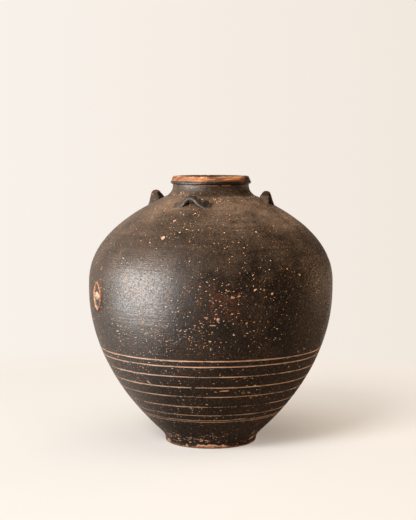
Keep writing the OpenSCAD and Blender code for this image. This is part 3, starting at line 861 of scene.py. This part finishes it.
class Finish:
    """A material's node tree, with one short method for each kind of step."""

    def __init__(self, name):
        self.material = bpy.data.materials.new(name)
        self.material.use_nodes = True
        self.tree = self.material.node_tree
        self.tree.nodes.clear()
        self.place = self.add("TexCoord").outputs["Object"]

    def add(self, kind, feeds=None, **settings):
        """A shader node of a kind with its settings; feeds says what goes into its inputs."""
        node = self.tree.nodes.new("ShaderNode" + kind)
        for key, value in settings.items():
            setattr(node, key, value)
        for key, value in (feeds or {}).items():
            self.feed(node.inputs[key], value)
        return node

    def feed(self, socket, value):
        """Link an output to a socket, or set the socket to a plain value or colour."""
        if isinstance(value, bpy.types.NodeSocket):
            self.tree.links.new(value, socket)
        elif socket.type == "RGBA":
            socket.default_value = (*value, 1)
        else:
            socket.default_value = value

    def math(self, operation, a, b=0.0, clamp=False):
        """One step of arithmetic on two numbers."""
        return self.add("Math", {0: a, 1: b}, operation=operation, use_clamp=clamp).outputs[0]

    def plus(self, a, b):
        """Sum of two numbers."""
        return self.math("ADD", a, b)

    def times(self, first, *others):
        """Product of numbers."""
        for other in others:
            first = self.math("MULTIPLY", first, other)
        return first

    def most(self, first, *others):
        """The largest of some numbers."""
        for other in others:
            first = self.math("MAXIMUM", first, other)
        return first

    def step(self, value, low, high):
        """Smooth step from 0 at low to 1 at high."""
        feeds = {"Value": value, "From Min": low, "From Max": high}
        return self.add("MapRange", feeds, interpolation_type="SMOOTHSTEP").outputs["Result"]

    def span(self, value, low, high, to_low, to_high):
        """Straight map of a number from one range to another, held at the ends."""
        feeds = {"Value": value, "From Min": low, "From Max": high, "To Min": to_low, "To Max": to_high}
        return self.add("MapRange", feeds).outputs["Result"]

    def between(self, share, a, b):
        """Number a where share is 0, b where it is 1."""
        return self.span(share, 0, 1, a, b)

    def vector(self, operation, a, b=None):
        """One step of arithmetic on vectors; a scaled vector takes its number as b."""
        feeds = {0: a}
        if b is not None:
            feeds["Scale" if operation == "SCALE" else 1] = b
        gives = "Value" if operation in ("DOT_PRODUCT", "DISTANCE", "LENGTH") else "Vector"
        return self.add("VectorMath", feeds, operation=operation).outputs[gives]

    def mix(self, share, a, b):
        """Colour a where share is 0, b where it is 1."""
        return self.add("Mix", {0: share, 6: a, 7: b}, data_type="RGBA").outputs[2]

    def share(self, name):
        """A paint share of the mesh."""
        return self.add("Attribute", attribute_name=name).outputs["Fac"]

    def ray(self, kind):
        """1 for rays of a kind, 0 for all others."""
        return self.add("LightPath").outputs["Is %s Ray" % kind]

    def stretched(self, sideways, upright, offset=(0, 0, 0)):
        """The place, scaled sideways and upright and moved, for a pattern that is longer one way."""
        scale = (sideways, sideways, upright)
        feeds = {"Vector": self.place, "Scale": scale, "Location": offset}
        return self.add("Mapping", feeds).outputs[0]

    def noise(self, size, detail=2.0, roughness=0.5, where=None):
        """Noise from 0 to 1, with features of a size in metres."""
        feeds = {"Vector": where or self.place, "Scale": 1 / size, "Detail": detail, "Roughness": roughness}
        return self.add("TexNoise", feeds).outputs["Fac"]

    def bent(self, where, size, amount):
        """A place moved about by noise of a size, so that round patterns come out ragged."""
        node = self.add("TexNoise", {"Vector": self.place, "Scale": 1 / size})
        centred = self.vector("SUBTRACT", node.outputs["Color"], (0.5, 0.5, 0.5))
        return self.vector("ADD", where, self.vector("SCALE", centred, amount))

    def flecks(self, cell, radius, flatness, keep, offset, soft=0.35):
        """Grit that shows in the skin: ragged spots, one per cell at most, and the dark ring round each.

        cell and radius are metres, flatness is how much lower than wide a spot is, and keep is the
        share of cells that hold one, a number or a socket. Also returns each spot's random number.
        """
        where = self.bent(self.stretched(1, flatness, offset), radius * 1.6, radius * 1.3)
        node = self.add("TexVoronoi", {"Vector": where, "Scale": 1 / cell}, feature="F1")
        draws = self.add("SeparateColor", {0: node.outputs["Color"]}).outputs
        size = self.between(draws["Green"], 0.4 * radius / cell, radius / cell)
        near = self.math("SUBTRACT", 1.0, self.math("DIVIDE", node.outputs["Distance"], size))
        chosen = self.math("LESS_THAN", draws["Red"], keep)
        spot = self.times(self.step(near, 0, soft), chosen)
        ring = self.times(self.step(near, -0.90, -0.20), chosen)
        return spot, ring, draws["Blue"]

    def blob(self, middle, near, far):
        """Share that is 1 nearer to a point than near, and 0 farther than far."""
        return self.step(self.vector("DISTANCE", self.place, middle), far, near)


class Stoneware(Finish):
    """Thin dark glaze over gritty clay, and the bare clay where the mesh's paint says so.

    From the bottom up: glaze, dust that also holds painted light and shade, dark seams and painted
    shade, specks, pits, four sizes of grit, then bare clay in cuts and chips. dusty, gritty and bright
    say how much dust and grit there is, and how bright the bare clay is.
    """

    def __init__(self, name, dusty=1.0, gritty=1.0, bright=1.0):
        super().__init__(name)
        self.dusty, self.gritty, self.bright = dusty, gritty, bright
        self.height = self.add("SeparateXYZ", {0: self.place}).outputs["Z"]
        self.left = self.vector("DOT_PRODUCT", self.place, CAMERA_LEFT)
        self.grain = self.noise(3.0 * MM, 2, 0.8)
        self.mottle = self.noise(7 * MM, 4, 0.65)
        self.patchy = self.step(self.noise(38 * MM, 4, 0.6), 0.30, 0.66)

    def glaze(self):
        """Black-brown in clouds, with a red bloom on the belly, darker and lighter by the grain."""
        clouds = self.step(self.noise(60 * MM, 4, 0.6), 0.35, 0.7)
        colour = self.mix(clouds, GLAZE_BLACK, GLAZE_BROWN)
        colour = self.mix(self.times(self.step(self.mottle, 0.45, 0.75), 0.55), colour, GLAZE_BROWN)
        broken = self.step(self.noise(16 * MM, 3), 0.38, 0.62)
        bloom = self.times(self.blob(BLOOM_AT, 8 * MM, 54 * MM), broken, 0.6)
        colour = self.mix(bloom, colour, GLAZE_RED)
        return self.vector("SCALE", colour, self.span(self.grain, 0.34, 0.66, 0.0, 2.1))

    def dust(self):
        """How thickly dust lies, and its colour.

        It lies in patches and level bands from the upper wall to the neck's foot, where it is partly dust
        and partly painted sheen of the light from above, and reaches lower down at the far left. It also
        lies on the neck, most at its lit left, where it is partly painted light; near the foot at the left
        as painted light on the side the lamps face; and where the paint has it. It is painted thin in one
        band at the left as shade where the lamp's reflection ends, and heaped up beside the neck. It is
        brightest in the heap and on the right of the shoulder.
        """
        level = self.plus(self.height, self.span(self.left, 0.11, 0.21, 0, 0.055))
        level = self.plus(level, self.span(self.noise(34 * MM, 4), 0.3, 0.7, -0.022, 0.022))
        # Upper wall and shoulder: dust, and painted sheen of the light from above.
        shoulder = self.plus(self.times(self.step(level, 0.320, 0.350), 0.34),
                             self.span(level, 0.368, 0.416, 0.0, 0.66))
        # On the neck it is thickest at its lit left: partly dust, partly painted light.
        neck = self.span(self.left, 0.015, 0.075, 0.20, 0.88)
        on_neck = self.step(self.height, CREASE_H - 1 * MM, CREASE_H + 2 * MM)
        bands = self.noise(22 * MM, 3, where=self.stretched(0.22, 3.0))
        dust_and_painted_light = self.times(self.between(on_neck, shoulder, neck), self.between(self.patchy, 0.36, 1.22),
                          self.span(bands, 0.32, 0.68, 0.62, 1.25))
        # Painted light: brown dust colour laid near the foot on the left, the side the lamps face.
        low = self.times(self.step(self.left, 0.02, 0.12), self.step(self.height, 0.16, 0.04), 0.45)
        settled_dust_and_painted_light = self.times(self.most(self.share("dust"), low), self.step(self.mottle, 0.30, 0.62))
        # Painted shade: the dust is thinner in one band at the left, where the lamp's reflection ends.
        rubbed = self.times(self.step(self.left, 0.0, 0.09), self.step(self.height, 0.358, 0.367),
                            self.step(self.height, 0.389, 0.378))
        dust_and_painted_light = self.times(self.most(dust_and_painted_light, settled_dust_and_painted_light), self.between(rubbed, 1.0, 0.72))
        heap = self.blob(HEAP_AT, 15 * MM, 80 * MM)
        dust_and_painted_light = self.plus(dust_and_painted_light, self.times(heap, 0.25))
        away = self.times(self.step(self.left, 0.03, -0.05), self.step(self.height, 0.378, 0.408))
        brightness = self.times(self.span(self.grain, 0.32, 0.68, 0.46, 1.62),
                                self.between(heap, 1.0, 1.55), self.between(away, 0.94, 1.36))
        colour = self.vector("SCALE", DUST, brightness)
        return self.math("MULTIPLY", dust_and_painted_light, 0.62 * self.dusty, clamp=True), colour

    def with_grit(self, colour):
        """A colour with grit on it in four sizes, and the share of grit.

        The finest lies thick where the paint has grit. The other three are strewn, most of all on the
        belly and to the left.
        """
        belly = self.times(self.step(self.height, -0.03, 0.13), self.step(self.height, 0.37, 0.29))
        strewn = self.step(self.noise(48 * MM), 0.36, 0.62)
        many = self.times(self.between(belly, 0.22, 1.0), self.between(strewn, 0.40, 1.0),
                          self.step(self.height, 0.448, 0.436),
                          self.span(self.left, -0.13, 0.07, 0.45, 1.05))
        clumps = self.span(self.noise(11 * MM), 0.44, 0.58, 0.08, 1.0)
        patch = self.most(self.times(self.share("grit"), clumps), self.times(many, 0.10))
        sizes = [
            (3.7 * MM, 1.45 * MM, 1.3, patch, (8, 5, 3), 0.5),
            (4.2 * MM, 1.3 * MM, 1.3, self.times(many, 0.42 * self.gritty), (0, 0, 0), 0.5),
            (10 * MM, 2.6 * MM, 2.4, self.times(many, 0.50 * self.gritty), (5, 3, 1), 0.35),
            (32 * MM, 3.8 * MM, 2.6, self.times(many, 0.25 * self.gritty), (2, 7, 4), 0.35),
        ]
        grit = 0.0
        for size in sizes:
            spot, ring, draw = self.flecks(*size)
            colour = self.mix(self.times(ring, 0.70), colour, PIT_BLACK)
            colour = self.mix(spot, colour, self.mix(self.step(draw, 0.30, 0.85), GRIT_ORANGE, GRIT_CREAM))
            grit = self.most(grit, spot)
        return colour, grit

    def clay(self):
        """Bare clay: orange-brown, browner in clouds, with pale scuffs, pale flakes and dark grains."""
        clouds = self.noise(10 * MM, 4, 0.6, self.stretched(0.5, 1.6))
        colour = self.mix(self.step(clouds, 0.42, 0.66), CLAY_ORANGE, CLAY_BROWN)
        streaks = self.noise(6 * MM, 3, 0.6, self.stretched(0.25, 2.6))
        colour = self.mix(self.times(self.step(streaks, 0.56, 0.74), 0.4), colour, CLAY_PALE)
        colour = self.mix(self.times(self.step(streaks, 0.48, 0.32), 0.75), colour, CLAY_DARK)
        flakes = self.flecks(5.5 * MM, 1.6 * MM, 2.2, 0.35, (6, 2, 8))[0]
        colour = self.mix(self.times(flakes, 0.7), colour, CLAY_PALE)
        grains = self.flecks(3.4 * MM, 1.2 * MM, 1.8, 0.40, (3, 1, 2))[0]
        colour = self.vector("SCALE", self.mix(self.times(grains, 0.80), colour, CLAY_GRAIN), self.bright)
        colour = self.mix(self.times(self.share("pale"), 0.8), colour, CLAY_PALE)
        # On bare clay the same share darkens seams and paints shade, such as the contact shadow along the
        # foot's bottom.
        return self.mix(self.times(self.share("seam"), 0.9), colour, CLAY_DARK)

    def relief(self, bare, sunk):
        """Bump from the coarse to the fine: lumps, level streaks and scrapes, grain, pits, broken clay."""
        steps = [
            (self.noise(9 * MM, 3, 0.55), 0.6 * MM, 0.62),
            (self.noise(9 * MM, where=self.stretched(0.12, 2.4)), 0.35 * MM, 0.6),
            (self.noise(5 * MM, where=self.stretched(0.14, 2.1)), 0.30 * MM, 0.7),
            (self.grain, 0.48 * MM, 1.0),
            (self.math("SUBTRACT", 0.0, sunk), 0.35 * MM, 0.8),
            (self.times(bare, self.grain), 0.30 * MM, 0.8),
        ]
        under = {}
        for height, full, strength in steps:
            feeds = {"Height": height, "Distance": full, "Strength": strength, **under}
            under = {"Normal": self.add("Bump", feeds).outputs[0]}
        return under["Normal"]

    def finished(self):
        """The material, with all layers on one principled shader."""
        dust_and_painted_light, dust = self.dust()
        colour = self.mix(dust_and_painted_light, self.glaze(), dust)
        # Dark seams, and painted shade in creases, beside grooves and under the lugs.
        colour = self.mix(self.times(self.share("seam"), 0.92), colour, SEAM_AND_SHADE_BLACK)
        specks = self.between(self.patchy, 0.40 * self.gritty, 0.80 * self.gritty)
        colour = self.mix(self.times(specks, self.step(self.grain, 0.60, 0.70)), colour, SPECK_BROWN)
        pits = self.flecks(5.2 * MM, 1.7 * MM, 1.2, 0.66 * self.gritty, (9, 4, 6), 0.6)[0]
        colour = self.mix(self.times(pits, 0.85), colour, PIT_BLACK)
        colour, grit = self.with_grit(colour)

        painted = self.share("clay")
        broken_edge = self.times(self.step(painted, 0.03, 0.22), self.step(self.height, 0.012, 0.020), 0.6)
        colour = self.mix(broken_edge, colour, PIT_BLACK)
        ragged = self.span(self.noise(2.2 * MM, 3, 0.7), 0.25, 0.75, -0.38, 0.38)
        bare = self.times(self.step(self.plus(painted, ragged), 0.34, 0.62), self.step(painted, 0.04, 0.16))
        colour = self.mix(bare, colour, self.clay())

        pored = self.times(self.step(self.grain, 0.56, 0.38), 0.60)
        dull = self.most(self.times(dust_and_painted_light, 0.45), bare, grit, pored)
        sheen = self.span(self.noise(30 * MM, 3), 0.3, 0.7, 0.30, 0.40)
        shader = self.add("BsdfPrincipled", {
            "Base Color": colour,
            "Roughness": self.math("ADD", sheen, self.times(dull, 0.42), clamp=True),
            "Normal": self.relief(bare, self.most(grit, pits)),
            "IOR": GLAZE_IOR,
        })
        self.add("OutputMaterial", {"Surface": shader.outputs[0]})
        return self.material


class Surround(Finish):
    """The world's node tree, with the same short methods; its place is the way a ray goes."""

    def __init__(self, world):
        world.use_nodes = True
        self.tree = world.node_tree
        self.tree.nodes.clear()
        self.place = self.add("TexCoord").outputs["Generated"]


def backdrop_colour(surround, way):
    """The backdrop's cream, a little paler at the photograph's left than at its right.

    The share of the right colour is the way's part along the camera's right, over the picture's width.
    Rays that the glaze mirrors get a warmer and dimmer tone.
    """
    side = surround.vector("DOT_PRODUCT", way, CAMERA_RIGHT)
    seen = surround.mix(surround.span(side, -0.15, 0.15, 0, 1), BACKDROP_LEFT, BACKDROP_RIGHT)
    return surround.mix(surround.ray("Glossy"), seen, BACKDROP_MIRRORED)


def shows_backdrop(surround, way, low, high):
    """Share of the backdrop's own brightness that a ray sees.

    It is 1 for rays from the camera, and for mirrored rays it rises from 0 to 1 as the way's part
    towards the bright side goes from low to high.
    """
    side = surround.vector("DOT_PRODUCT", way, BRIGHT_SIDE)
    bright = surround.times(surround.ray("Glossy"), surround.step(side, low, high))
    return surround.most(surround.ray("Camera"), bright)


def floor_paper():
    """The floor's paper, blended into the backdrop's glow away from the jar's shadow and far away."""
    paper = Finish("floor_paper")
    shown = shows_backdrop(paper, paper.place, 0.0, 0.18)
    unseen = paper.mix(paper.ray("Diffuse"), FLOOR_MIRRORED, FLOOR_GIVES)
    diffuse = paper.add("BsdfDiffuse", {"Color": paper.mix(shown, unseen, FLOOR_SHOWS)})
    way = paper.vector("NORMALIZE", paper.vector("SUBTRACT", paper.place, CAMERA_AT))
    glow = paper.add("Emission", {"Color": backdrop_colour(paper, way),
                                            "Strength": paper.between(shown, 0.22, 1.0)})
    from_shadow = paper.step(paper.vector("DISTANCE", paper.place, SHADOW_AT), 0.05, 0.36)
    far = paper.step(paper.vector("LENGTH", paper.place), 0.45, 1.20)
    share = paper.most(paper.between(from_shadow, 0.20, 0.56), far)
    blend = paper.add("MixShader", {0: share, 1: diffuse.outputs[0], 2: glow.outputs[0]})
    paper.add("OutputMaterial", {"Surface": blend.outputs[0]})
    return paper.material


def make_floor():
    """A wide pale floor: rings of quads round a middle face, farther apart as they go out."""
    rings = np.concatenate([[0.3, 0.8], np.geomspace(1.5, 60, 14)])
    angle = np.linspace(0, 2 * math.pi, 96, endpoint=False)
    points = revolve(stacked(rings, 0), angle)
    faces = grid_faces(len(rings), len(angle)) + [list(range(len(angle)))]
    mesh = bpy.data.meshes.new("floor")
    mesh.from_pydata(points.reshape(-1, 3).tolist(), [], faces)
    mesh.update()
    mesh.materials.append(floor_paper())
    floor = bpy.data.objects.new("floor", mesh)
    bpy.context.scene.collection.objects.link(floor)


def make_world():
    """The surround: the backdrop to the camera, and on the bright side also to mirrored rays.

    All else gets the even, weaker light of the room.
    """
    world = bpy.data.worlds.new("surround")
    bpy.context.scene.world = world
    surround = Surround(world)
    strength = surround.between(surround.ray("Diffuse"), *ROOM_STRENGTHS)
    room = surround.add("Background", {"Color": ROOM_LIGHT, "Strength": strength})
    backdrop = surround.add("Background", {"Color": backdrop_colour(surround, surround.place)})
    shown = shows_backdrop(surround, surround.place, 0.0, 0.95)
    blend = surround.add("MixShader", {0: shown, 1: room.outputs[0], 2: backdrop.outputs[0]})
    surround.add("OutputWorld", {"Surface": blend.outputs[0]})


def soft_lamp(name, turn, climb, distance, size, brightness, colour, mirrored):
    """An area lamp: turn is degrees from the camera's side (minus is left), climb is degrees up.

    brightness is its effect on a white surface that faces it from the jar's place, 1 for plain white;
    for a lamp that only shows mirrored in the glaze it is that of its own face.
    """
    lamp = bpy.data.lights.new(name, "AREA")
    lamp.shape = "RECTANGLE"
    lamp.size, lamp.size_y = size
    lamp.energy = brightness * math.pi * (size[0] * size[1] if mirrored else math.pi * distance ** 2)
    lamp.color = colour
    way = CAMERA_TURN + math.radians(turn)
    up = math.radians(climb)
    toward = mathutils.Vector((math.sin(way) * math.cos(up), -math.cos(way) * math.cos(up), math.sin(up)))
    placed = bpy.data.objects.new(name, lamp)
    placed.location = mathutils.Vector((0, 0, LAMP_AIM_H)) + distance * toward
    placed.rotation_euler = toward.to_track_quat("Z", "Y").to_euler()
    placed.visible_camera = False
    placed.visible_diffuse = not mirrored
    placed.visible_glossy = mirrored
    bpy.context.scene.collection.objects.link(placed)


def make_lamps():
    """Four lamps that show mirrored in the glaze, three of them at the left, and four that only light."""
    soft_lamp("soft_box", -59.2, 3, 0.75, (0.62, 0.53), 15.4, (1.0, 0.985, 0.965), True)
    soft_lamp("sheet", -43, 12, 1.50, (0.60, 0.75), 2.2, (1.0, 0.86, 0.73), True)
    soft_lamp("upper", -51, 41, 1.30, (0.70, 0.42), 4.2, (1.0, 0.87, 0.75), True)
    soft_lamp("edge", 114, 0, 1.50, (0.65, 0.80), 1.5, (1.0, 0.62, 0.36), True)
    soft_lamp("key", -31, 38, 8.00, (3.0, 3.0), 1.04, (1.0, 0.985, 0.96), False)
    soft_lamp("fill", 38, 22, 8.00, (3.6, 3.6), 0.16, (1.0, 0.80, 0.60), False)
    soft_lamp("overhead", 30, 75, 6.00, (4.8, 4.8), 0.45, (1.0, 0.90, 0.78), False)
    soft_lamp("back", 125, 14, 6.00, (3.6, 3.6), 0.48, (1.0, 0.74, 0.50), False)


def make_camera():
    """The camera, at the photograph's place: it looks from a little above the jar, tilted down."""
    camera = bpy.data.cameras.new("camera")
    camera.sensor_width = SENSOR
    camera.lens = FOCAL_PX * SENSOR / FRAME_H_PX
    placed = bpy.data.objects.new("camera", camera)
    placed.location = CAMERA_AT
    placed.rotation_euler = (math.pi / 2 - CAMERA_TILT, 0, CAMERA_TURN + CAMERA_YAW)
    bpy.context.scene.collection.objects.link(placed)
    bpy.context.scene.camera = placed


def make_jar():
    """All the jar's pieces, from the floor slab up."""
    glaze = Stoneware("dark_glaze").finished()
    floor_slab(Stoneware("foot_clay", dusty=0.5, gritty=0.8).finished())
    foot_course(glaze)
    names = ["foot", "taper", "lower", "belly", "upper"]
    for low, high in zip(names[:-1], names[1:]):
        wall_course(high + "_course", outline.length_at(SEAMS[low]), outline.length_at(SEAMS[high]),
                    lapped(SEAMS[low]), lapped(SEAMS[high]), glaze)
    wall_course("shoulder_course", outline.length_at(SEAMS["upper"]), outline.root,
                lapped(SEAMS["upper"]), outline.root - LAP, glaze)
    neck_collar(glaze)
    rim_band(Stoneware("rim_clay", dusty=0.4, gritty=0.5).finished())
    lug("lug_front", math.radians(-90), FRONT_LUG_RISE - 2 * MM, 101, glaze, skew=-2 * MM, knob=2.8 * MM,
        stout=1.3, longer=4 * MM)
    lug("lug_right", 0, LUG_RISE, 111, glaze, lean=math.radians(2))
    lug("lug_back", math.radians(90), LUG_RISE, 121, glaze)
    lug("lug_left", math.pi, LUG_RISE, 131, glaze, bared=0.42)
    seal_pad(Stoneware("seal_clay", dusty=0.8, gritty=0.4, bright=1.6).finished())
    seal_pellet(Stoneware("pellet_clay", dusty=0.2, gritty=0.2).finished())


make_jar()
make_floor()
make_world()
make_lamps()
make_camera()
bpy.context.scene.view_settings.view_transform = "Standard"
